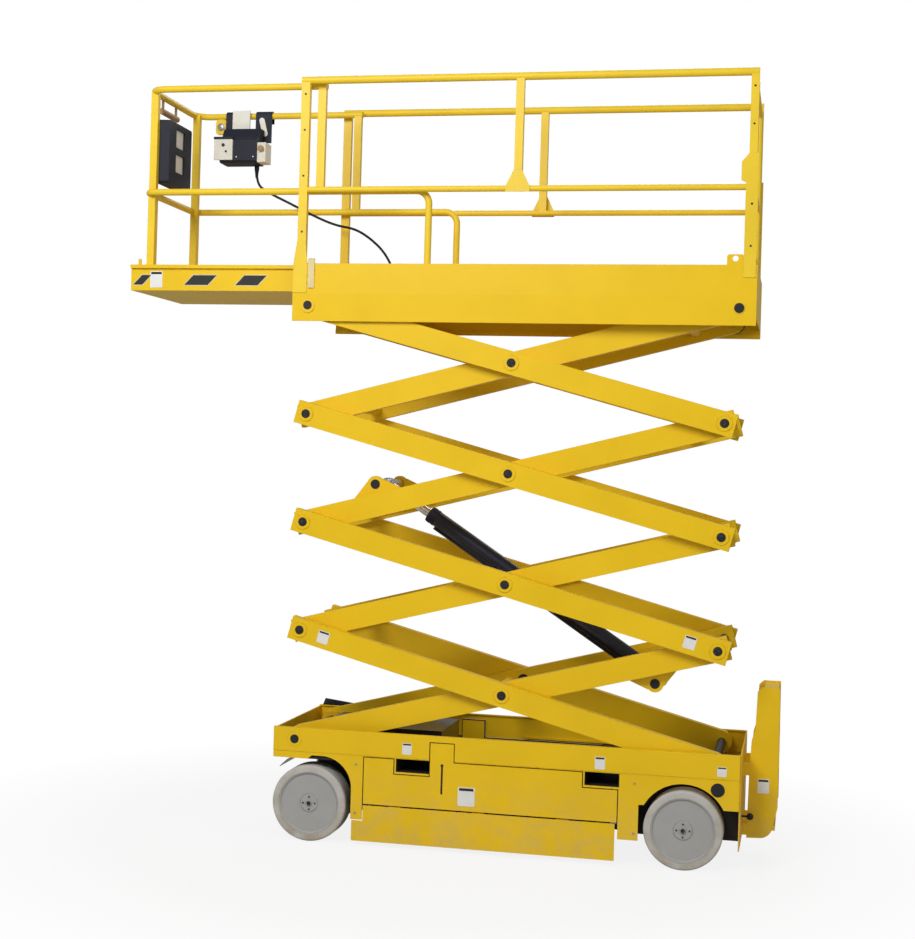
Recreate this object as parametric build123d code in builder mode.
"""Self-propelled scissor lift, raised, with its platform extension out.

Millimetres. +X points to the ladder end, +Z up, the side of the photograph is -Y.
The origin is on the ground under the middle of the whole machine.
"""

import math
import os

from build123d import *

os.makedirs("parts", exist_ok=True)

# Driving dimensions: chassis
wheelbase = 1860.0
chassis_front = 1122.0  # ahead of the point midway between the axles
chassis_rear = 1190.0  # behind that point
ladder_reach = 177.0  # ladder, behind the chassis
chassis_width = 810.0
chassis_top_z = 565.0
side_thickness = 6.0
overhang_z = 412.0  # lower edge of the front overhang
side_foot_z = 127.0
rear_skirt_z = 300.0
front_arch_r = 155.0
rear_arch_r = 215.0
band_height = 118.0  # proud band along the top of each side
band_proud = 3.0

# Driving dimensions: wheels and steering
wheel_r = 190.0
wheel_width = 130.0
tyre_depth = 34.0
kingpin_inset = 15.0  # kingpin axis, outboard of the wheel's inner face
kingpin_r = 12.0
steer_arm = 75.0

# Driving dimensions: scissor
arm_length = 2150.0  # between the end pins
arm_depth = 115.0
arm_width = 50.0
arm_wall = 5.0
arm_overrun = 52.0
end_trim = 4.0  # the rounded right ends stop short, to clear the rear plate
layer_gap = 5.0  # between the inner and outer arms
inner_arm_face = 270.0  # inboard face of the inner arms
stages = 4
stage_rise = 543.4  # of one stage, as in the photograph
pin_z = 508.0
pin_x = -1012.0  # fixed pins, from the point midway between the axles
pin_r = 22.0
boss_r = 37.0
boss_proud = 4.0
head_proud = 2.0
running_gap = 0.4

# Driving dimensions: cylinder
foot_along = 1810.0  # barrel pin, along the lowest inner arm
foot_offset = -103.0
eye_along = 381.0  # rod pin, along the third inner arm
eye_offset = 106.0
barrel_r = 41.0
barrel_length = 1440.0
rod_r = 23.0
cylinder_pin_r = 24.0

# Driving dimensions: platform
deck_front = 1093.0  # ahead of the point midway between the axles
deck_rear = 1202.0
deck_width = 800.0
deck_bottom_z = 2603.0
deck_top_z = 2891.0
deck_crease_z = 2740.0
deck_floor_z = 2750.0
deck_side_thickness = 6.0
extension_out = 887.0
extension_rear = -370.0
extension_width = 732.0
extension_bottom_z = 2755.0
extension_top_z = 2886.0
rail_top_z = 3829.0
mid_rail_z = 3262.0
top_rail_r = 19.0
mid_rail_r = 15.0

# Places worked out from the driving dimensions
mid_x = (deck_front + extension_out - chassis_rear - ladder_reach) / 2
front_x = mid_x - chassis_front
rear_x = mid_x + chassis_rear
front_axle_x = mid_x - wheelbase / 2
rear_axle_x = mid_x + wheelbase / 2
half_width = chassis_width / 2
tilt = math.asin(stage_rise / arm_length)
span = arm_length * math.cos(tilt)
left_x = mid_x + pin_x
right_x = left_x + span
inner_out = inner_arm_face + arm_width
outer_in = inner_out + layer_gap
outer_out = outer_in + arm_width
head_y = outer_out + boss_proud + head_proud
deck_pin_z = pin_z + stages * stage_rise
deck_front_x = mid_x - deck_front
deck_rear_x = mid_x + deck_rear
deck_half = deck_width / 2
deck_inner = deck_half - deck_side_thickness
ext_front_x = deck_front_x - extension_out
ext_rear_x = mid_x + extension_rear
ext_half = extension_width / 2


def side_view(y):
    """Sketch plane seen from the near side, at height y across the machine; extrudes towards -Y."""
    return Plane.XZ.offset(-y)


def arm_plane(stage, rising, y):
    """Plane of an arm: X along it from its left pin, Y upwards across it, extrudes towards -Y."""
    base = pin_z + stage * stage_rise
    slope = tilt if rising else -tilt
    z = base if rising else base + stage_rise
    return Plane(
        origin=(left_x, y, z),
        x_dir=(math.cos(slope), 0, math.sin(slope)),
        z_dir=(0, -1, 0),
    )


def block(x0, x1, y0, y1, z0, z1):
    """Plain block between six faces."""
    with BuildPart() as piece:
        with BuildSketch(Plane.XY.offset(z0)):
            with Locations(((x0 + x1) / 2, (y0 + y1) / 2)):
                Rectangle(x1 - x0, y1 - y0)
        extrude(amount=z1 - z0)
    return piece.part


def rod(x, z, radius, y0, y1):
    """Round bar across the machine, from y0 up to y1."""
    with BuildPart() as piece:
        with BuildSketch(side_view(y1)):
            with Locations((x, z)):
                Circle(radius)
        extrude(amount=y1 - y0)
    return piece.part


def mirrored(part):
    """The same piece on the other side of the machine."""
    return mirror(part, about=Plane.XZ)


def save(part, name):
    """Label a finished piece and write its STEP file."""
    part.label = name
    export_step(part, f"parts/{name}.step")


# Fork pockets and compartment door, measured from the point midway between the axles
pocket_centres = (-403.0, 536.0)
pocket_width = 168.0
pocket_z = (376.0, 442.0)
pocket_wall = 4.0
door_left = -650.0
door_right = 612.0
door_z = (207.0, 437.0)
door_step_z = 362.0
door_tab = (-314.0, -196.0)
door_tab_top = 530.0
door_gap = 5.0
door_thickness = 22.0


def door_outline(grow):
    """Corners of the compartment door, grown outwards all round by the given amount."""
    left_notch = pocket_centres[0] - pocket_width / 2 - 12
    right_notch = pocket_centres[1] - pocket_width / 2 - 12
    top = door_z[1] + grow
    step = door_step_z + grow
    points = [
        (door_left - grow, door_z[0] - grow),
        (door_left - grow, top),
        (left_notch + grow, top),
        (left_notch + grow, step),
        (door_tab[0] - grow, step),
        (door_tab[0] - grow, door_tab_top + grow),
        (door_tab[1] + grow, door_tab_top + grow),
        (door_tab[1] + grow, top),
        (right_notch + grow, top),
        (right_notch + grow, step),
        (door_right + grow, step),
        (door_right + grow, door_z[0] - grow),
    ]
    return [(mid_x + x, z) for x, z in points]


# Side plate of the chassis, with its arches, door opening and fork pocket holes
post_left = -713.0
post_right = 715.0
arch_top_z = overhang_z + 18
plate_inner = half_width - band_proud - side_thickness
flange_inner = 386.0
roller_r = 49.0
fit_gap = 0.3
ledge_thickness = 8.0
track_start = mid_x + 20
track_end = mid_x + 1165
with BuildPart() as chassis_side:
    with BuildSketch(side_view(-plate_inner)) as outline:
        with BuildLine():
            opening = door_outline(door_gap)
            Polyline(
                (front_x, chassis_top_z),
                (rear_x, chassis_top_z),
                (rear_x, rear_skirt_z),
                (mid_x + post_right, rear_skirt_z),
                (mid_x + post_right, side_foot_z),
                (opening[-1][0], side_foot_z),
                *reversed(opening[1:-1]),
                (opening[0][0], side_foot_z),
                (mid_x + post_left, side_foot_z),
                (mid_x + post_left, arch_top_z),
                (front_x + 200, arch_top_z),
                (front_x + 180, overhang_z),
                (front_x, overhang_z),
                close=True,
            )
        make_face()
        arch_corner = Vector(mid_x + post_left, arch_top_z, 0)
        fillet(outline.vertices().sort_by_distance(arch_corner)[0], front_arch_r)
        with Locations((rear_axle_x, wheel_r + 8)):
            Circle(rear_arch_r, mode=Mode.SUBTRACT)
        with Locations(*[(mid_x + x, sum(pocket_z) / 2) for x in pocket_centres]):
            Rectangle(pocket_width, pocket_z[1] - pocket_z[0], mode=Mode.SUBTRACT)
    extrude(amount=side_thickness)
    with BuildSketch(side_view(-half_width + band_proud)):
        with Locations(((front_x + rear_x) / 2, chassis_top_z - band_height / 2)):
            Rectangle(rear_x - front_x, band_height)
        with BuildLine():
            Polyline(*opening, close=True)
        make_face(mode=Mode.SUBTRACT)
    extrude(amount=band_proud)
    flange_y = -(flange_inner + plate_inner) / 2
    flange_depth = plate_inner - flange_inner
    with BuildSketch(Plane.YZ.offset(front_x)):
        with Locations((flange_y, chassis_top_z - side_thickness / 2)):
            Rectangle(flange_depth, side_thickness)
    extrude(amount=rear_x - front_x)
    with BuildSketch(Plane.YZ.offset(track_start)):
        with Locations((flange_y, pin_z - roller_r - 1 - ledge_thickness / 2)):
            Rectangle(flange_depth, ledge_thickness)
    extrude(amount=track_end - track_start)
    with BuildSketch(side_view(-half_width)):
        with Locations((left_x, pin_z)):
            Circle(boss_r)
    extrude(amount=2)
    with BuildSketch(side_view(-plate_inner + 1)):
        with Locations((left_x, pin_z)):
            Circle(pin_r + 0.05)
    extrude(amount=20, mode=Mode.SUBTRACT)
save(chassis_side.part, "chassis_side_near")
save(mirrored(chassis_side.part), "chassis_side_far")

# Middle of the chassis: front pan, tub with fork pockets through it, bulkheads and rear box
bulkhead_x = mid_x - 701
tub_x0 = bulkhead_x
tub_x1 = mid_x + 700
tub_half = 205.0
tub_z = 130.0
tray_z = 215.0
tray_half = half_width - band_proud - door_thickness - 9
sheet = 8.0
rear_box_half = 262.0
rear_box_top = 400.0
rear_plate_z = 110.0
spine_half = 105.0
axle_top_z = 240.0
foot_plate = 10.0
with BuildPart() as core:
    with BuildSketch(Plane.YZ.offset(tub_x0)):
        with BuildLine():
            Polyline(
                (-tray_half, tray_z),
                (-tub_half, tray_z),
                (-tub_half, tub_z),
                (tub_half, tub_z),
                (tub_half, tray_z),
                (tray_half, tray_z),
                (tray_half, tray_z + sheet),
                (tub_half - sheet, tray_z + sheet),
                (tub_half - sheet, tub_z + sheet),
                (-tub_half + sheet, tub_z + sheet),
                (-tub_half + sheet, tray_z + sheet),
                (-tray_half, tray_z + sheet),
                close=True,
            )
        make_face()
    extrude(amount=tub_x1 - tub_x0)
    for wall_x, low in ((tub_x0, tray_z), (tub_x1 - sheet, side_foot_z)):
        with BuildSketch(Plane.YZ.offset(wall_x)):
            with Locations((0, (low + arch_top_z) / 2)):
                Rectangle(2 * plate_inner, arch_top_z - low)
            with Locations((0, (tub_z + tray_z) / 2)):
                Rectangle(2 * tub_half, tray_z - tub_z)
        extrude(amount=sheet)
    with BuildSketch(side_view(plate_inner)):
        with Locations(*[(mid_x + x, sum(pocket_z) / 2) for x in pocket_centres]):
            Rectangle(pocket_width + 2 * pocket_wall, pocket_z[1] - pocket_z[0] + 2 * pocket_wall)
    extrude(amount=2 * plate_inner)
    with BuildSketch(side_view(half_width)):
        with Locations(*[(mid_x + x, sum(pocket_z) / 2) for x in pocket_centres]):
            Rectangle(pocket_width, pocket_z[1] - pocket_z[0])
    extrude(amount=chassis_width, mode=Mode.SUBTRACT)
    with BuildSketch(side_view(plate_inner)):
        with BuildLine():
            Polyline(
                (front_x, overhang_z),
                (tub_x0 + sheet, overhang_z),
                (tub_x0 + sheet, overhang_z + sheet),
                (front_x + sheet, overhang_z + sheet),
                (front_x + sheet, chassis_top_z - side_thickness),
                (front_x, chassis_top_z - side_thickness),
                close=True,
            )
        make_face()
    extrude(amount=2 * plate_inner)
    with BuildSketch(Plane.XY.offset(axle_top_z)):
        with Locations(((front_axle_x - 45 + tub_x0) / 2, 0)):
            Rectangle(tub_x0 - front_axle_x + 45, 2 * spine_half)
    extrude(amount=overhang_z - axle_top_z)
    with BuildSketch(Plane.XY.offset(tub_z)):
        with Locations(((tub_x1 + rear_x) / 2, 0)):
            Rectangle(rear_x - tub_x1, 2 * rear_box_half)
    extrude(amount=rear_box_top - tub_z)
    with BuildSketch(Plane.XY.offset(tub_z + sheet)):
        with Locations(((tub_x1 + rear_x) / 2, 0)):
            Rectangle(rear_x - tub_x1 - 2, 2 * rear_box_half - 2 * sheet)
    extrude(amount=rear_box_top - tub_z - 2 * sheet, mode=Mode.SUBTRACT)
    with BuildSketch(Plane.YZ.offset(rear_x)):
        with Locations((0, (rear_plate_z + chassis_top_z) / 2)):
            Rectangle(2 * plate_inner, chassis_top_z - rear_plate_z)
    extrude(amount=6)
    for near_face in (-inner_out - 6, -inner_arm_face + 6 + foot_plate, inner_arm_face - 6, inner_out + 6 + foot_plate):
        with BuildSketch(side_view(near_face)):
            with BuildLine():
                Polyline(
                    (left_x - 75, overhang_z),
                    (left_x - 38, pin_z + 42),
                    (left_x + 38, pin_z + 42),
                    (left_x + 75, overhang_z),
                    close=True,
                )
            make_face()
        extrude(amount=foot_plate)
    with BuildSketch(side_view(half_width)):
        with Locations((left_x, pin_z)):
            Circle(pin_r + 0.05)
    extrude(amount=chassis_width, mode=Mode.SUBTRACT)
save(core.part, "chassis_core")

# Front axle beam with a boss for each kingpin
kingpin_y = half_width - wheel_width + kingpin_inset
beam_half = 35.0
beam_z = 150.0
boss_bottom_z = 145.0
boss_top_z = 245.0
with BuildPart() as front_axle:
    with BuildSketch(Plane.XY.offset(beam_z)):
        with Locations((front_axle_x, 0)):
            Rectangle(2 * beam_half, 2 * kingpin_y - 70)
    extrude(amount=axle_top_z - beam_z)
    with BuildSketch(Plane.XY.offset(boss_bottom_z)):
        for side in (-1, 1):
            with Locations((front_axle_x, side * (kingpin_y - 30))):
                Rectangle(40, 60)
            with Locations((front_axle_x, side * kingpin_y)):
                Circle(27)
    extrude(amount=boss_top_z - boss_bottom_z - 5)
    with Locations(*[(front_axle_x, side * kingpin_y, boss_top_z) for side in (-1, 1)]):
        Hole(kingpin_r + running_gap)
save(front_axle.part, "front_axle")

# Rear axle: drive motor housings on the rear box
with BuildPart() as rear_axle:
    with BuildSketch(side_view(rear_box_half + 70)):
        with Locations((rear_axle_x, wheel_r)):
            Circle(62)
    extrude(amount=70)
    with BuildSketch(side_view(rear_box_half + 20)):
        with Locations((rear_axle_x, wheel_r)):
            Rectangle(170, 110)
    extrude(amount=20)
    mirror(about=Plane.XZ)
save(rear_axle.part, "rear_axle")

save(block(mid_x - 300, mid_x + 430, -190, 190, tub_z + sheet, 430), "battery_pack")
save(block(mid_x - 935, mid_x - 300, -215, 215, pocket_z[1] + pocket_wall, 560), "power_unit")

# Inner fenders behind and above the front wheels, and the small guard on the far side's top edge
fender_sheet = 3.0
fender_y = (112.0, 384.0)
with BuildPart() as fenders:
    for y in (fender_y[1], -fender_y[0]):
        with BuildSketch(side_view(y)):
            with BuildLine():
                FilletPolyline(
                    (tub_x0 - 1.6, tray_z + 5),
                    (tub_x0 - 1.6, overhang_z - 1.6),
                    (front_x + 80, overhang_z - 1.6),
                    (front_x + 30, overhang_z - 50),
                    radius=60,
                )
            trace(line_width=fender_sheet)
        extrude(amount=fender_y[1] - fender_y[0])
    with BuildSketch(side_view(half_width - 5)):
        with BuildLine():
            Polyline(
                (front_x + 18, chassis_top_z),
                (front_x + 32, chassis_top_z + 36),
                (front_x + 272, chassis_top_z + 8),
                (front_x + 272, chassis_top_z),
                close=True,
            )
        make_face()
    extrude(amount=10)
save(fenders.part, "inner_fenders")

# Base pin and the round plugs in the sides
plug_x = mid_x + 1089
plug_z = 395.0
plug_r = 33.0
with BuildPart() as base_pin:
    with BuildSketch(side_view(half_width + 4)):
        with Locations((left_x, pin_z)):
            Circle(pin_r)
    extrude(amount=chassis_width + 8)
    for y in (half_width - band_proud + 2, -half_width + band_proud):
        with BuildSketch(side_view(y)):
            with Locations((plug_x, plug_z)):
                Circle(plug_r)
        extrude(amount=2)
save(base_pin.part, "base_pin")

# Ladder: two shaped side plates, rungs and the brackets to the rear plate
ladder_half = 150.0
ladder_sheet = 5.0
ladder_out = rear_x + ladder_reach
with BuildPart() as ladder:
    for y in (ladder_half, -ladder_half + ladder_sheet):
        with BuildSketch(side_view(y)) as stringer:
            with BuildLine():
                Polyline(
                    (mid_x + 1278, 862),
                    (ladder_out - 4, 862),
                    (ladder_out, 280),
                    (mid_x + 1333, 131),
                    (mid_x + 1221, 126),
                    (mid_x + 1227, 481),
                    (mid_x + 1234, 602),
                    (mid_x + 1250, 660),
                    (mid_x + 1256, 841),
                    close=True,
                )
            make_face()
            corner = Vector(mid_x + 1333, 131, 0)
            fillet(stringer.vertices().sort_by_distance(corner)[0], 60)
        extrude(amount=ladder_sheet)
    for z in (180, 420, 660):
        with BuildSketch(Plane.YZ.offset(ladder_out - 60)):
            with Locations((0, z)):
                Rectangle(2 * ladder_half - 2, 22)
        extrude(amount=50)
    with BuildSketch(Plane.YZ.offset(ladder_out - 80)):
        with Locations((0, 850)):
            Rectangle(2 * ladder_half - 2, 6)
    extrude(amount=70)
    with BuildSketch(Plane.YZ.offset(rear_x + 6)):
        for y in (-ladder_half + 12, ladder_half - 12):
            with Locations((y, 170), (y, 460)):
                Rectangle(24, 60)
    extrude(amount=36)
save(ladder.part, "ladder")

# Release rod with its ball knob, beside the ladder
knob_x = mid_x + 1237
knob_z = 236.0
knob_y = -180.0
with BuildPart() as release_knob:
    with BuildSketch(Plane(origin=(rear_x + 6, knob_y, knob_z), x_dir=(0, 1, 0), z_dir=(1, 0, 0))):
        Circle(5)
    extrude(amount=knob_x - rear_x - 6)
    with Locations((knob_x, knob_y, knob_z)):
        Sphere(17)
save(release_knob.part, "release_knob")

# Wheels: solid tyre and dished disc
disc_y = half_width - 12
rim_r = wheel_r - tyre_depth


def tyre(x):
    """Solid tyre of a near side wheel."""
    with BuildPart() as piece:
        with BuildSketch(Plane.XY) as section:
            with Locations(((rim_r + wheel_r) / 2, half_width - wheel_width / 2)):
                Rectangle(wheel_r - rim_r, wheel_width)
            outer = section.vertices().group_by(Axis.X)[-1]
            fillet(outer, 12)
        revolve(axis=Axis.Y)
    return Pos(x, 0, wheel_r) * mirrored(piece.part)


def rim(x, hub_y):
    """Barrel, disc and hub of a near side wheel; the hub reaches inboard to hub_y."""
    with BuildPart() as piece:
        with BuildSketch(Plane.XY):
            with BuildLine():
                Polyline(
                    (0, hub_y),
                    (58, hub_y),
                    (58, disc_y - 12),
                    (rim_r - 14, disc_y - 12),
                    (rim_r - 8, disc_y - 20),
                    (rim_r - 8, half_width - wheel_width + 4),
                    (rim_r, half_width - wheel_width + 4),
                    (rim_r, half_width - 3),
                    (rim_r - 6, half_width - 3),
                    (rim_r - 14, disc_y),
                    (46, disc_y),
                    (42, disc_y + 4),
                    (16, disc_y + 4),
                    (14, disc_y + 10),
                    (0, disc_y + 10),
                    close=True,
                )
            make_face()
        revolve(axis=Axis.Y)
    return Pos(x, 0, wheel_r) * mirrored(piece.part)


front_hub_y = 350.3
rear_hub_y = rear_box_half + 70.3
for end, x, hub_y in (("front", front_axle_x, front_hub_y), ("rear", rear_axle_x, rear_hub_y)):
    tyre_part = tyre(x)
    rim_part = rim(x, hub_y)
    save(tyre_part, f"tyre_{end}_near")
    save(rim_part, f"rim_{end}_near")
    save(mirrored(tyre_part), f"tyre_{end}_far")
    save(mirrored(rim_part), f"rim_{end}_far")

# Steering knuckle: two lugs on the kingpin, a plate, the stub axle and the steering arm
lug_low = (boss_bottom_z - 19, boss_bottom_z - 1)
lug_high = (boss_top_z - 4, boss_top_z + 14)
arm_x = front_axle_x + steer_arm
rod_z = lug_low[0] - 9 - fit_gap
tie_pin_r = 6.0
with BuildPart() as knuckle:
    for low, high in (lug_low, lug_high):
        with BuildSketch(Plane.XY.offset(low)):
            with Locations((front_axle_x, -kingpin_y)):
                Circle(27)
            with Locations((front_axle_x, -kingpin_y - 22)):
                Rectangle(54, 44)
        extrude(amount=high - low)
    with BuildSketch(Plane.XY.offset(lug_low[0])):
        with Locations((front_axle_x, -kingpin_y - 38)):
            Rectangle(70, 12)
    extrude(amount=lug_high[1] - lug_low[0])
    with BuildSketch(Plane.XY.offset(lug_low[0])):
        with Locations((front_axle_x + steer_arm / 2, -kingpin_y)):
            Rectangle(steer_arm, 28)
        with Locations((arm_x, -kingpin_y)):
            Circle(14)
    extrude(amount=lug_low[1] - lug_low[0])
    with BuildSketch(side_view(-kingpin_y - 44)):
        with Locations((front_axle_x, wheel_r)):
            Circle(26)
    extrude(amount=front_hub_y - kingpin_y - 44 - 0.3)
    with BuildSketch(Plane.XY.offset(lug_low[0])):
        with Locations((front_axle_x, -kingpin_y)):
            Circle(kingpin_r)
    extrude(amount=lug_high[1] - lug_low[0])
    with BuildSketch(Plane.XY.offset(rod_z - 9)):
        with Locations((arm_x, -kingpin_y)):
            Circle(tie_pin_r)
    extrude(amount=lug_low[1] - rod_z)
save(knuckle.part, "knuckle_near")
save(mirrored(knuckle.part), "knuckle_far")

with BuildPart() as tie_rod:
    with BuildSketch(side_view(kingpin_y - 14)):
        with Locations((arm_x, rod_z)):
            Circle(9)
    extrude(amount=2 * kingpin_y - 28)
    with BuildSketch(Plane.XY.offset(rod_z - 9)):
        for side in (-1, 1):
            with Locations((arm_x, side * kingpin_y)):
                Circle(15)
    extrude(amount=18)
    with Locations(*[(arm_x, side * kingpin_y, rod_z + 9) for side in (-1, 1)]):
        Hole(tie_pin_r + running_gap)
save(tie_rod.part, "tie_rod")

# Compartment door, with its latch slot and the bores of its hinge pins
slot_x = -253.0
door_outer_y = half_width - band_proud
door_hinge_x = mid_x + door_right - 16
door_hinge_y = door_outer_y - 10
door_pin_r = 4.0
door_pin_depth = 15.0
with BuildPart() as door:
    with BuildSketch(side_view(-half_width + band_proud + door_thickness)):
        with BuildLine():
            Polyline(*door_outline(0), close=True)
        make_face()
    extrude(amount=door_thickness)
    with BuildSketch(side_view(-half_width + band_proud + 6)):
        with Locations((mid_x + slot_x, 355)):
            SlotOverall(150, 10, rotation=90)
    extrude(amount=20, mode=Mode.SUBTRACT)
    for low in (door_z[0], door_step_z - door_pin_depth):
        with BuildSketch(Plane.XY.offset(low)):
            with Locations((door_hinge_x, -door_hinge_y)):
                Circle(door_pin_r + running_gap)
        extrude(amount=door_pin_depth, mode=Mode.SUBTRACT)
save(door.part, "door_near")
save(mirrored(door.part), "door_far")

# Pothole guard, with sleeves on a hinge rod along its top edge
guard_left = -706.0
guard_right = 604.0
guard_z = (22.0, 200.0)
guard_thickness = 6.0
guard_hinge_y = 390.0
guard_hinge_z = 193.0
guard_rod_r = 5.0
sleeve_r = half_width - guard_thickness - guard_hinge_y
sleeve_places = (-520.0, -100.0, 320.0)
with BuildPart() as guard:
    with BuildSketch(side_view(-half_width + guard_thickness)):
        with BuildLine():
            Polyline(
                (mid_x + guard_left, guard_z[0]),
                (mid_x + guard_right, guard_z[0]),
                (mid_x + guard_right, guard_z[1]),
                (mid_x + door_left, guard_z[1]),
                (mid_x + door_left, side_foot_z - 5),
                (mid_x + guard_left, side_foot_z - 5),
                close=True,
            )
        make_face()
    extrude(amount=guard_thickness)
    for x in sleeve_places:
        with BuildSketch(Plane.YZ.offset(mid_x + x)):
            with Locations((-guard_hinge_y, guard_hinge_z)):
                Circle(sleeve_r)
            with Locations((-guard_hinge_y - sleeve_r / 2, guard_hinge_z)):
                Rectangle(sleeve_r, sleeve_r)
            with Locations((-guard_hinge_y, guard_hinge_z)):
                Circle(guard_rod_r + running_gap, mode=Mode.SUBTRACT)
        extrude(amount=60)
save(guard.part, "guard_near")
save(mirrored(guard.part), "guard_far")

# Hinge rods of the guards on lugs under the tub, and the hinge pins of the doors
with BuildPart() as side_hinges:
    with BuildSketch(Plane.YZ.offset(mid_x + guard_left + 80)):
        with Locations((-guard_hinge_y, guard_hinge_z)):
            Circle(guard_rod_r)
    extrude(amount=guard_right - guard_left - 140)
    for x in (guard_left + 80, sleeve_places[1] - 40, guard_right - 90):
        with BuildSketch(Plane.YZ.offset(mid_x + x)):
            with BuildLine():
                Polyline(
                    (-tray_half + 30, tray_z),
                    (-tray_half, tray_z),
                    (-tray_half - 2, guard_hinge_z + sleeve_r),
                    (-guard_hinge_y, guard_hinge_z + sleeve_r - 0.5),
                    (-guard_hinge_y - sleeve_r + 1, guard_hinge_z),
                    (-guard_hinge_y, guard_hinge_z - sleeve_r + 0.5),
                    (-tray_half + 30, guard_hinge_z + 8),
                    close=True,
                )
            make_face()
        extrude(amount=8)
    lug_top = door_z[0] - fit_gap
    with BuildSketch(Plane.XY.offset(lug_top - 7)):
        with Locations((door_hinge_x, -(tray_half - 35 + plate_inner) / 2)):
            Rectangle(30, plate_inner - tray_half + 35)
    extrude(amount=7)
    with BuildSketch(Plane.XY.offset(lug_top - 7)):
        with Locations((door_hinge_x, -tray_half + 20)):
            Rectangle(30, 30)
    extrude(amount=tray_z - lug_top + 7)
    for low, high in ((lug_top - 3, door_z[0] + door_pin_depth - 1), (door_step_z - door_pin_depth + 1, pocket_z[0] - pocket_wall)):
        with BuildSketch(Plane.XY.offset(low)):
            with Locations((door_hinge_x, -door_hinge_y)):
                Circle(door_pin_r)
        extrude(amount=high - low)
    mirror(about=Plane.XZ)
save(side_hinges.part, "side_hinges")


def arm_tube(stage, rising, y0, round_left, round_right, bores):
    """One rectangular tube arm with its pin bosses, inboard face at y0 on the near side."""
    outboard = -(y0 + arm_width)
    with BuildPart() as piece:
        with BuildSketch(arm_plane(stage, rising, -y0)):
            left = -arm_overrun
            right = arm_length + arm_overrun
            if round_left:
                left = 0
                with Locations((0, 0)):
                    Circle(arm_depth / 2)
            if round_right:
                right = arm_length - end_trim
                with Locations((right, 0)):
                    Circle(arm_depth / 2)
            with Locations(((left + right) / 2, 0)):
                Rectangle(right - left, arm_depth)
        extrude(amount=arm_width)
        with BuildSketch(arm_plane(stage, rising, -y0 - arm_wall)):
            with Locations((arm_length / 2, 0)):
                Rectangle(arm_length + 4 * arm_overrun, arm_depth - 2 * arm_wall)
        extrude(amount=arm_width - 2 * arm_wall, mode=Mode.SUBTRACT)
        with BuildSketch(arm_plane(stage, rising, -y0)):
            with Locations((0, 0), (arm_length / 2, 0), (arm_length, 0)):
                Circle(boss_r - 5)
        extrude(amount=arm_width)
        if not rising:
            with BuildSketch(arm_plane(stage, rising, outboard)):
                places = [(0, 0), (arm_length / 2, 0)]
                if stage > 0:
                    places.append((arm_length, 0))
                with Locations(*places):
                    Circle(boss_r)
            extrude(amount=boss_proud)
        for along, radius in zip((0, arm_length / 2, arm_length), bores):
            with BuildSketch(arm_plane(stage, rising, -y0 + 1)):
                with Locations((along, 0)):
                    Circle(radius)
            extrude(amount=arm_width + 10, mode=Mode.SUBTRACT)
    return piece.part


tight = pin_r + 0.05
loose = pin_r + running_gap
tie_r = 30.0
bracket_y = 265.0
bracket_width = 20.0


def bracket(stage, along, offset):
    """Tapered plate on the inside of an inner arm that holds one end of the cylinder's pin."""
    lean = 1 if offset > 0 else -1
    with BuildPart() as piece:
        with BuildSketch(arm_plane(stage, True, -bracket_y + bracket_width)):
            with BuildLine():
                Polyline(
                    (along - 160, lean * 30),
                    (along - 40, offset + lean * 20),
                    (along + 40, offset + lean * 20),
                    (along + 160, lean * 30),
                    (along + 160, -lean * 30),
                    (along - 160, -lean * 30),
                    close=True,
                )
            make_face()
            with Locations((along, offset)):
                Circle(42)
                Circle(cylinder_pin_r + 0.05, mode=Mode.SUBTRACT)
        extrude(amount=bracket_width)
        with BuildSketch(arm_plane(stage, True, -bracket_y)):
            with Locations((along, 0)):
                Rectangle(300, 60)
        extrude(amount=inner_arm_face - bracket_y)
    return piece.part


tie_along = {0: (1000.0,), 1: (200.0, 1950.0), 2: (200.0, 1950.0), 3: (200.0, 1950.0)}
for stage in range(stages):
    bores = (loose, loose, tight if stage == stages - 1 else loose)
    tube = arm_tube(stage, True, inner_arm_face, stage == 0, stage == stages - 1, bores)
    with BuildPart() as inner_arms:
        add(tube)
        if stage == 0:
            add(bracket(stage, foot_along, foot_offset))
        if stage == 2:
            add(bracket(stage, eye_along, eye_offset))
        mirror(about=Plane.XZ)
        with BuildSketch(arm_plane(stage, True, inner_arm_face)):
            with Locations(*[(along, 0) for along in tie_along[stage]]):
                Circle(tie_r)
                Circle(tie_r - arm_wall, mode=Mode.SUBTRACT)
        extrude(amount=2 * inner_arm_face)
    save(inner_arms.part, f"inner_arms_{stage + 1}")
    last = stage == stages - 1
    bores = (loose if last else tight, tight, tight)
    tube = arm_tube(stage, False, outer_in, last, stage == 0, bores)
    with BuildPart() as outer_arms:
        add(tube)
        mirror(about=Plane.XZ)
    save(outer_arms.part, f"outer_arms_{stage + 1}")


def full_pin(stage, at_left, reach):
    """Shaft through both sides at an end of the outer arms of a stage."""
    x = left_x if at_left else right_x
    z = pin_z + (stage + 1 if at_left else stage) * stage_rise
    return rod(x, z, pin_r, -reach, reach)


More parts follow.
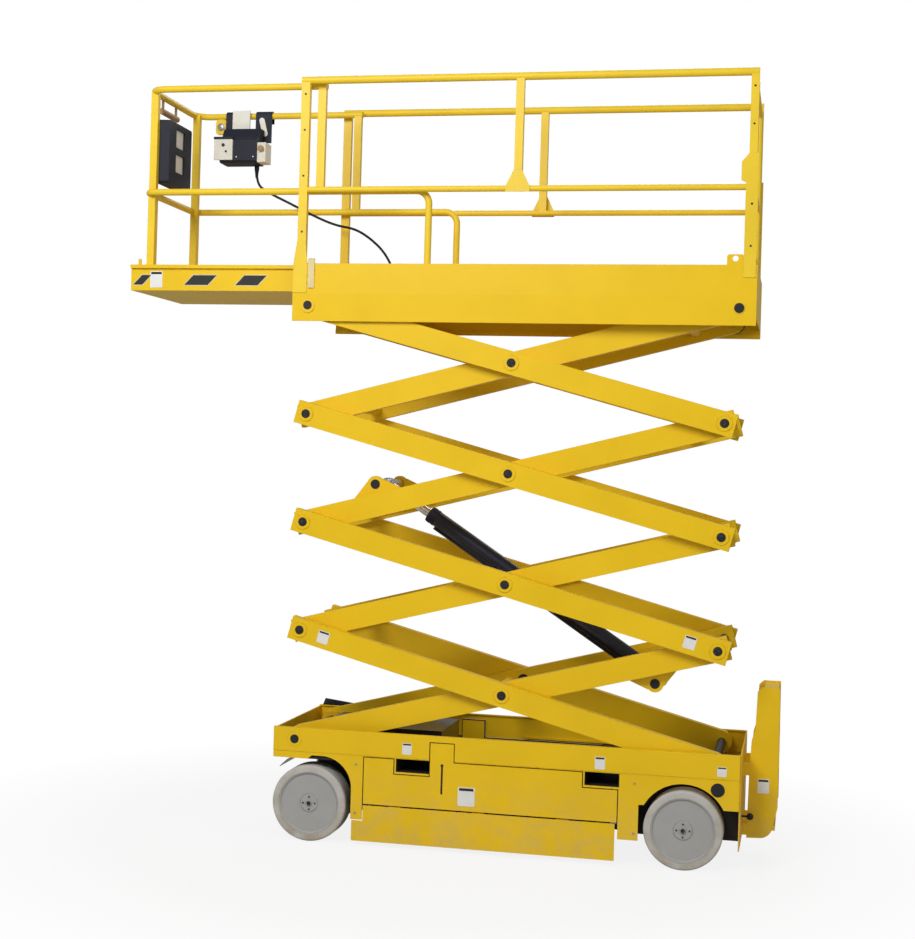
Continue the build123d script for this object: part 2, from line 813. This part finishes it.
centre_inner_y = inner_arm_face - 7
for stage in range(stages):
    with BuildPart() as pins:
        if stage < stages - 1:
            add(full_pin(stage, True, head_y))
        if stage > 0:
            add(full_pin(stage, False, head_y))
        else:
            add(full_pin(stage, False, plate_inner - 1.5))
            for side in (-1, 1):
                low = outer_out + 1 if side > 0 else -plate_inner + 1
                with BuildSketch(side_view(low + plate_inner - outer_out - 2)):
                    with Locations((right_x, pin_z)):
                        Circle(roller_r)
                extrude(amount=plate_inner - outer_out - 2)
        centre_x = (left_x + right_x) / 2
        centre_z = pin_z + (stage + 0.5) * stage_rise
        for side in (-1, 1):
            low = centre_inner_y if side > 0 else -head_y
            with BuildSketch(side_view(low + head_y - centre_inner_y)):
                with Locations((centre_x, centre_z)):
                    Circle(pin_r)
            extrude(amount=head_y - centre_inner_y)
            low = centre_inner_y if side > 0 else -inner_arm_face + 2
            with BuildSketch(side_view(low + 5)):
                with Locations((centre_x, centre_z)):
                    Circle(pin_r + 8)
            extrude(amount=5)
    save(pins.part, f"pins_{stage + 1}")

# Shaft of the top inner arms, with its rollers in the deck
deck_roller_r = 54.0
deck_roller_y = 389.0
with BuildPart() as deck_slide:
    add(rod(right_x, deck_pin_z, pin_r, -deck_roller_y, deck_roller_y))
    for low in (outer_out + 1, -deck_roller_y):
        with BuildSketch(side_view(low + deck_roller_y - outer_out - 1)):
            with Locations((right_x, deck_pin_z)):
                Circle(deck_roller_r)
        extrude(amount=deck_roller_y - outer_out - 1)
save(deck_slide.part, "deck_slide")

# Cylinder between the brackets, built along its own axis
foot = arm_plane(0, True, 0).from_local_coords(Vector(foot_along, foot_offset, 0))
eye = arm_plane(2, True, 0).from_local_coords(Vector(eye_along, eye_offset, 0))
cylinder_run = eye - foot
cylinder_length = cylinder_run.length
cylinder_axis = Plane(origin=foot, x_dir=(0, 1, 0), z_dir=cylinder_run.normalized())
with BuildPart() as barrel:
    add(rod(foot.X, foot.Z, 46, -38, 38))
    with BuildSketch(cylinder_axis.offset(30)):
        Circle(barrel_r)
    extrude(amount=barrel_length - 30)
    with BuildSketch(cylinder_axis.offset(barrel_length - 6)):
        Circle(rod_r + 0.35)
    extrude(amount=20, mode=Mode.SUBTRACT)
    with BuildSketch(cylinder_axis.offset(90)):
        Circle(rod_r + 0.35)
    extrude(amount=barrel_length - 90, mode=Mode.SUBTRACT)
    add(rod(foot.X, foot.Z, cylinder_pin_r + running_gap, -40, 40), mode=Mode.SUBTRACT)
    with BuildSketch(cylinder_axis.offset(120)):
        with Locations((0, barrel_r + 7)):
            Circle(8)
    extrude(amount=barrel_length - 180)
save(barrel.part, "cylinder_barrel")

rod_length = 1365.0
rod_start = cylinder_length - rod_length
with BuildPart() as lift_rod:
    with BuildSketch(cylinder_axis.offset(rod_start)):
        Circle(rod_r)
    extrude(amount=rod_length)
    add(rod(eye.X, eye.Z, 33, -30, 30))
    add(rod(eye.X, eye.Z, cylinder_pin_r, -240, 240))
save(lift_rod.part, "cylinder_rod")

with BuildPart() as cylinder_pins:
    add(rod(foot.X, foot.Z, cylinder_pin_r, -bracket_y - 2, bracket_y + 2))
save(cylinder_pins.part, "cylinder_pin")
with BuildPart() as eye_pins:
    reach = bracket_y + 2
    low_y = bracket_y - bracket_width
    add(rod(eye.X, eye.Z, cylinder_pin_r, -reach, -low_y))
    add(rod(eye.X, eye.Z, cylinder_pin_r, low_y, reach))
save(eye_pins.part, "eye_pins")


def tube_run(points, radius, bend):
    """Round tube along straight runs joined by bends."""
    with BuildPart() as piece:
        with BuildLine() as path:
            FilletPolyline(*points, radius=bend)
        with BuildSketch(Plane(origin=path.line @ 0, z_dir=path.line % 0)):
            Circle(radius)
        sweep(path=path.line)
    return piece.part


def lengthwise(outline, x0, x1):
    """Section with corners (y, z), drawn out from x0 to x1."""
    with BuildPart() as piece:
        with BuildSketch(Plane.YZ.offset(x0)):
            with BuildLine():
                Polyline(*outline, close=True)
            make_face()
        extrude(amount=x1 - x0)
    return piece.part


# Deck: creased side plates with a slide track inside each, floor, front beam and rear plate
deck_foot = 396.0  # half width at the lower edge
deck_plate = 4.0
track_top_z = deck_pin_z - deck_roller_r - fit_gap
track_inner = 386.0
lip_inner = 380.0
lip_thickness = 6.0
lanyard_x = mid_x + 1098
lanyard_r = 14.0
lanyard_z = deck_top_z + 30
deck_plug_x = mid_x + 1122
deck_plug_z = 2686.0
deck_plug_r = 24.0
stiffener_z = 2712.0
stiffener_y = (243.0, 263.0)
with BuildPart() as deck:
    with BuildSketch(Plane.YZ.offset(deck_front_x)):
        with BuildLine():
            Polyline(
                (-deck_half, deck_top_z),
                (-deck_half, deck_crease_z),
                (-deck_foot, deck_bottom_z),
                (-track_inner, deck_bottom_z),
                (-track_inner, track_top_z),
                (-deck_roller_y - 1, track_top_z),
                (-deck_inner, deck_crease_z),
                (-deck_inner, deck_top_z - lip_thickness),
                (-lip_inner, deck_top_z - lip_thickness),
                (-lip_inner, deck_top_z),
                close=True,
            )
        make_face()
    extrude(amount=deck_rear_x - deck_front_x)
    mirror(about=Plane.XZ)
    with BuildSketch(Plane.XY.offset(deck_floor_z - deck_plate)):
        with Locations(((deck_front_x + deck_rear_x) / 2, 0)):
            Rectangle(deck_rear_x - deck_front_x, 2 * deck_inner)
    extrude(amount=deck_plate)
    for low in (-stiffener_y[1], stiffener_y[0]):
        with BuildSketch(Plane.XY.offset(stiffener_z)):
            with Locations(((deck_front_x + deck_rear_x) / 2, low + (stiffener_y[1] - stiffener_y[0]) / 2)):
                Rectangle(deck_rear_x - deck_front_x, stiffener_y[1] - stiffener_y[0])
        extrude(amount=deck_floor_z - stiffener_z - 1)
    for start, low in ((deck_front_x, 2700.0), (deck_rear_x - 6, deck_bottom_z + 40)):
        high = deck_floor_z - 1 if start == deck_front_x else deck_top_z
        with BuildSketch(Plane.YZ.offset(start)):
            with Locations((0, (low + high) / 2)):
                Rectangle(2 * deck_inner - 8, high - low)
        extrude(amount=6)
    for side in (-1, 1):
        y0 = -deck_foot if side < 0 else deck_half + 2
        with BuildSketch(side_view(y0)):
            with Locations((left_x, deck_pin_z)):
                Circle(boss_r)
        extrude(amount=deck_half + 2 - deck_foot)
        y0 = -deck_foot if side < 0 else deck_half + 0.5
        with BuildSketch(side_view(y0)):
            with Locations((deck_plug_x, deck_plug_z)):
                Circle(deck_plug_r + 4)
        extrude(amount=deck_half + 0.5 - deck_foot)
        y0 = -deck_inner if side < 0 else deck_half
        with BuildSketch(side_view(y0)):
            with Locations((lanyard_x, deck_top_z + 20)):
                RectangleRounded(80, 60, 12)
            with Locations((lanyard_x, lanyard_z)):
                Circle(lanyard_r, mode=Mode.SUBTRACT)
        extrude(amount=deck_side_thickness)
    with BuildSketch(side_view(deck_half + 10)):
        with Locations((left_x, deck_pin_z)):
            Circle(pin_r + 0.05)
    extrude(amount=deck_width + 20, mode=Mode.SUBTRACT)
save(deck.part, "deck")

with BuildPart() as deck_pins:
    add(rod(left_x, deck_pin_z, pin_r, -deck_half - 4, deck_half + 4))
    for low in (-deck_half - 2.5, deck_half + 0.5):
        add(rod(deck_plug_x, deck_plug_z, deck_plug_r, low, low + 2))
save(deck_pins.part, "deck_pins")


def long_tube(x0, x1, y, z, radius):
    """Round tube along the machine."""
    with BuildPart() as piece:
        with BuildSketch(Plane.YZ.offset(x0)):
            with Locations((y, z)):
                Circle(radius)
        extrude(amount=x1 - x0)
    return piece.part


def upright(x, y, z0, z1, radius):
    """Round tube standing up."""
    with BuildPart() as piece:
        with BuildSketch(Plane.XY.offset(z0)):
            with Locations((x, y)):
                Circle(radius)
        extrude(amount=z1 - z0)
    return piece.part


# Guard rails of the deck: top and middle tubes, posts standing on the side plate
rail_y = 386.0
top_tube_z = rail_top_z - top_rail_r
post_deep = 30.0
post_y = (-rail_y - post_deep / 2, -rail_y + post_deep / 2)
front_post = (mid_x - 1075, mid_x - 1031)
middle_post = (mid_x + 18, mid_x + 58)
rear_post = (mid_x + 1148, mid_x + 1186)
strap = 4.0
rear_panel_top = 3380.0
with BuildPart() as rails:
    add(long_tube(front_post[0], rear_post[1], -rail_y, top_tube_z, top_rail_r))
    add(long_tube(front_post[0] + 5, rear_post[1] - 5, -rail_y, mid_rail_z, mid_rail_r))
    add(block(*front_post, *post_y, deck_top_z, top_tube_z))
    add(block(*middle_post, *post_y, mid_rail_z, top_tube_z))
    add(block(*rear_post, *post_y, deck_top_z, top_tube_z))
    with BuildSketch(side_view(-deck_half)):
        with BuildLine():
            Polyline(
                (deck_front_x + 2, deck_crease_z + 4),
                (deck_front_x + 2, deck_top_z),
                (front_post[0], deck_top_z + 110),
                (front_post[1], deck_top_z + 110),
                (front_post[1] + 12, deck_top_z),
                (front_post[1] + 12, deck_crease_z + 4),
                close=True,
            )
        make_face()
        with BuildLine():
            Polyline(
                (rear_post[0] - 12, deck_top_z - 60),
                (rear_post[0] - 12, mid_rail_z + 20),
                (rear_post[0] - 34, mid_rail_z + 30),
                (rear_post[0] - 34, rear_panel_top),
                (rear_post[0], rear_panel_top + 40),
                (rear_post[1] + 8, rear_panel_top + 40),
                (rear_post[1] + 8, deck_top_z - 60),
                close=True,
            )
        make_face()
    extrude(amount=strap)
    with BuildSketch(side_view(-deck_half)):
        with Locations((mid_x - 997, deck_top_z - 50)):
            RectangleRounded(36, 150, 6)
    extrude(amount=strap)
    with BuildSketch(side_view(post_y[0])):
        with BuildLine():
            Polyline(
                (middle_post[0] - 40, mid_rail_z + 8),
                (middle_post[0], mid_rail_z + 90),
                (middle_post[1], mid_rail_z + 90),
                (middle_post[1] + 40, mid_rail_z + 8),
                (middle_post[1] + 40, mid_rail_z - 18),
                (middle_post[0] - 40, mid_rail_z - 18),
                close=True,
            )
        make_face()
    extrude(amount=strap)
save(rails.part, "rails_near")
save(mirrored(rails.part), "rails_far")

# Rear end of the guard rails: the gate's jamb on the far side and its hinge lugs on the near side
gate_x = mid_x + 1172
gate_hinge_y = -345.0
gate_end_y = 300.0
gate_r = 15.0
gate_z = (2950.0, 3760.0)
hinge_pin_r = 6.0
hinge_pin_length = 24.0
lug_thickness = 8.0
jamb_y = (gate_end_y + 8, gate_end_y + 38)
with BuildPart() as rails_rear:
    add(block(gate_x - 15, gate_x + 15, *jamb_y, deck_top_z, top_tube_z))
    for z in (mid_rail_z, gate_z[1] - gate_r):
        add(block(gate_x - 12, gate_x + 12, jamb_y[1], -post_y[1], z - 12, z + 12))
    for low in (gate_z[0] - fit_gap - lug_thickness, gate_z[1] + fit_gap):
        with BuildSketch(Plane.XY.offset(low)):
            with Locations((gate_x, gate_hinge_y)):
                Circle(gate_r)
            with Locations((gate_x, (gate_hinge_y + post_y[1]) / 2)):
                Rectangle(24, gate_hinge_y - post_y[1])
        extrude(amount=lug_thickness)
    for low in (gate_z[0] - fit_gap - 1, gate_z[1] + fit_gap + 1 - hinge_pin_length):
        add(upright(gate_x, gate_hinge_y, low, low + hinge_pin_length, hinge_pin_r))
save(rails_rear.part, "rails_rear")

# Gate: tubular frame that swings inwards
with BuildPart() as gate:
    for y in (gate_hinge_y, gate_end_y - gate_r):
        add(upright(gate_x, y, *gate_z, gate_r))
    for z in (gate_z[0] + gate_r, mid_rail_z, gate_z[1] - gate_r):
        add(rod(gate_x, z, gate_r - 2, gate_hinge_y, gate_end_y - gate_r))
    for low in (gate_z[0] - 10, gate_z[1] - hinge_pin_length):
        socket = upright(gate_x, gate_hinge_y, low, low + hinge_pin_length + 10, hinge_pin_r + running_gap)
        add(socket, mode=Mode.SUBTRACT)
save(gate.part, "gate")

# Extension deck: folded tray with lips, skids that slide on the deck floor, and its front plate
ext_web_y = 352.0
ext_wall = 4.0
ext_lip = 18.0
ext_flange_y = 320.0
skid_y = (300.0, 330.0)
ext_post_y = 336.0
with BuildPart() as extension:
    add(
        lengthwise(
            [
                (-ext_half, extension_top_z),
                (-ext_half, extension_top_z - ext_lip),
                (-ext_web_y, extension_top_z - ext_lip),
                (-ext_web_y, extension_bottom_z),
                (ext_web_y, extension_bottom_z),
                (ext_web_y, extension_top_z - ext_lip),
                (ext_half, extension_top_z - ext_lip),
                (ext_half, extension_top_z),
                (ext_flange_y, extension_top_z),
                (ext_flange_y, extension_top_z - ext_wall),
                (ext_web_y - ext_wall, extension_top_z - ext_wall),
                (ext_web_y - ext_wall, extension_bottom_z + ext_wall),
                (-ext_web_y + ext_wall, extension_bottom_z + ext_wall),
                (-ext_web_y + ext_wall, extension_top_z - ext_wall),
                (-ext_flange_y, extension_top_z - ext_wall),
                (-ext_flange_y, extension_top_z),
            ],
            ext_front_x,
            ext_rear_x,
        )
    )
    for low, high in (skid_y, (-skid_y[1], -skid_y[0])):
        skid_z = (deck_floor_z + fit_gap, extension_bottom_z + 1)
        add(block(ext_rear_x - 500, ext_rear_x, low, high, *skid_z))
    add(block(ext_front_x, ext_front_x + 5, -ext_web_y, ext_web_y, extension_bottom_z, extension_top_z))
    ramp_top = extension_bottom_z + 24
    add(block(ext_rear_x - 5, ext_rear_x, -ext_web_y, ext_web_y, extension_bottom_z, ramp_top))
    stop_x = ext_front_x + 40
    add(upright(stop_x, -ext_post_y, extension_top_z - 1, extension_top_z + 32, 8))
save(extension.part, "extension_deck")

# Guard rails of the extension: two bent tubes, front posts and rear uprights
ext_top_z = 3792.0
ext_top_r = 17.0
ext_mid_r = 17.0
ext_rail_front = mid_x - 1912
ext_mid_rear = mid_x - 418
ext_top_rear = mid_x - 958
corner_bend = 85.0
fall_bend = 65.0
ext_post_x = (ext_rail_front - 2, ext_rail_front + 36)
ext_rear_post = (mid_x - 1003, mid_x - 962)
front_post_y = 296.0
with BuildPart() as extension_rails:
    add(
        tube_run(
            [
                (ext_mid_rear, -ext_post_y, extension_top_z),
                (ext_mid_rear, -ext_post_y, mid_rail_z),
                (ext_rail_front, -ext_post_y, mid_rail_z),
                (ext_rail_front, ext_post_y, mid_rail_z),
                (ext_mid_rear, ext_post_y, mid_rail_z),
                (ext_mid_rear, ext_post_y, extension_top_z),
            ],
            ext_mid_r,
            [fall_bend, 40, 40, fall_bend],
        )
    )
    add(
        tube_run(
            [
                (ext_top_rear, -ext_post_y, ext_top_z),
                (ext_rail_front, -ext_post_y, ext_top_z),
                (ext_rail_front, ext_post_y, ext_top_z),
                (ext_top_rear, ext_post_y, ext_top_z),
            ],
            ext_top_r,
            corner_bend,
        )
    )
    for side in (-1, 1):
        edge = side * front_post_y
        add(block(*ext_post_x, edge - 20, edge + 20, extension_top_z, mid_rail_z))
        add(block(*ext_post_x, edge - 15, edge + 15, mid_rail_z, ext_top_z))
        rear_y = side * ext_post_y
        add(block(*ext_rear_post, rear_y - 14, rear_y + 14, mid_rail_z, ext_top_z))
    with BuildSketch(side_view(ext_post_y + 8)):
        with Locations((mid_x - 1768, ext_top_z - ext_top_r - 40)):
            RectangleRounded(62, 84, 20)
    extrude(amount=16)
save(extension_rails.part, "extension_rails")

# Document box hung on the front rail, open at two windows
box_y = (-front_post_y + 15 + fit_gap, 34.0)
box_z = (3322.0, 3652.0)
box_front_x = ext_rail_front + 20
with BuildPart() as document_box:
    with BuildSketch(Plane.YZ.offset(box_front_x)):
        with Locations((sum(box_y) / 2, sum(box_z) / 2)):
            RectangleRounded(box_y[1] - box_y[0], box_z[1] - box_z[0], 14)
    extrude(amount=70, taper=2)
    with BuildSketch(Plane.YZ.offset(box_front_x + 4)):
        with Locations((sum(box_y) / 2, box_z[1] - 80), (sum(box_y) / 2, box_z[0] + 120)):
            RectangleRounded(120, 96, 8)
    extrude(amount=90, mode=Mode.SUBTRACT)
save(document_box.part, "document_box")

# Lamp and its tube under the front rail
with BuildPart() as rail_lamp:
    add(rod(ext_rail_front, 3716, 16, -180, 40))
    for y in (-160, 20):
        add(upright(ext_rail_front, y, 3716, ext_top_z - ext_top_r - fit_gap, 7))
save(rail_lamp.part, "rail_lamp")

# Route of the control cable, from under the station to a gland in the extension deck
station_z = (3510.0, 3660.0)
cable_r = 6.5
cable_y = 290.0
gland_length = 22.0
cable_top_z = station_z[0] - gland_length
gland_foot_z = extension_bottom_z + ext_wall
gland_top_z = gland_foot_z + gland_length
cable_route = [
    (-1540, cable_top_z),
    (-1540, 3415),
    (-1480, 3368),
    (-1340, 3302),
    (-1200, 3232),
    (-1080, 3183),
    (-970, 3165),
    (-880, 3110),
    (-800, 3035),
    (-745, 2930),
    (-725, gland_top_z + 66),
    (-725, gland_top_z),
]
cable_points = [(mid_x + x, cable_y, z) for x, z in cable_route]

# Control station hooked over the far rail
station_hook_r = ext_top_r + fit_gap
hook_wall = 8.0
station_x = (mid_x - 1717, mid_x - 1508)
station_y = (176.0, 306.0)
station_top_z = 3706.0
hooks = ((mid_x - 1734, mid_x - 1696), (mid_x - 1562, mid_x - 1470))
with BuildPart() as control_box:
    with BuildSketch(Plane.YZ.offset(station_x[0])):
        with BuildLine():
            Polyline(
                (station_y[0], station_z[0] + 12),
                (station_y[0], station_z[1] - 30),
                (station_y[0] + 40, station_z[1]),
                (station_y[0] + 70, station_top_z),
                (station_y[1], station_top_z),
                (station_y[1], station_z[0]),
                (station_y[0] + 12, station_z[0]),
                close=True,
            )
        make_face()
    extrude(amount=station_x[1] - station_x[0])
    hook_y = ext_post_y - station_hook_r - hook_wall / 2
    for x0, x1 in hooks:
        with BuildSketch(Plane.YZ.offset(x0)):
            with Locations((ext_post_y, ext_top_z)):
                Circle(station_hook_r + hook_wall)
            with Locations((hook_y, (3640 + ext_top_z) / 2)):
                Rectangle(hook_wall, ext_top_z - 3640)
            with Locations((ext_post_y + station_hook_r + hook_wall / 2, ext_top_z - 20)):
                Rectangle(hook_wall, 40)
            with Locations((ext_post_y, ext_top_z)):
                Circle(station_hook_r, mode=Mode.SUBTRACT)
            with Locations((ext_post_y, ext_top_z - 60)):
                Rectangle(2 * station_hook_r, 120, mode=Mode.SUBTRACT)
        extrude(amount=x1 - x0)
    add(upright(mid_x + cable_route[0][0], cable_y, cable_top_z, station_z[0], 13))
    add(upright(mid_x + cable_route[-1][0], cable_y, gland_foot_z, gland_top_z, 14))
save(control_box.part, "control_box")

# Pale panels of the control station
panel_front = station_y[0] - fit_gap
card_y = ext_post_y - station_hook_r - 26
with BuildPart() as control_panel:
    add(block(mid_x - 1744, mid_x - 1640, panel_front - 12, panel_front, 3523, 3637))
    side_panel_x = station_x[1] + fit_gap
    add(block(side_panel_x, side_panel_x + 48, station_y[0] + 14, station_y[1] - 20, 3514, 3620))
    add(block(mid_x - 1689, mid_x - 1590, card_y, card_y + 12, station_top_z + fit_gap, 3816))
save(control_panel.part, "control_panel")


def bend_radii(points):
    """Radius at each inner corner: 0.45 of the shorter run over the tangent of half the turn."""
    radii = []
    for a, b, c in zip(points, points[1:], points[2:]):
        before = Vector(*b) - Vector(*a)
        after = Vector(*c) - Vector(*b)
        half_turn = math.radians(before.get_angle(after)) / 2
        radii.append(0.45 * min(before.length, after.length) / math.tan(half_turn))
    return radii


# Control cable
cable_bends = bend_radii(cable_points)
print("cable bends", [round(radius) for radius in cable_bends])
control_cable = tube_run(cable_points, cable_r, cable_bends)
save(control_cable, "control_cable")
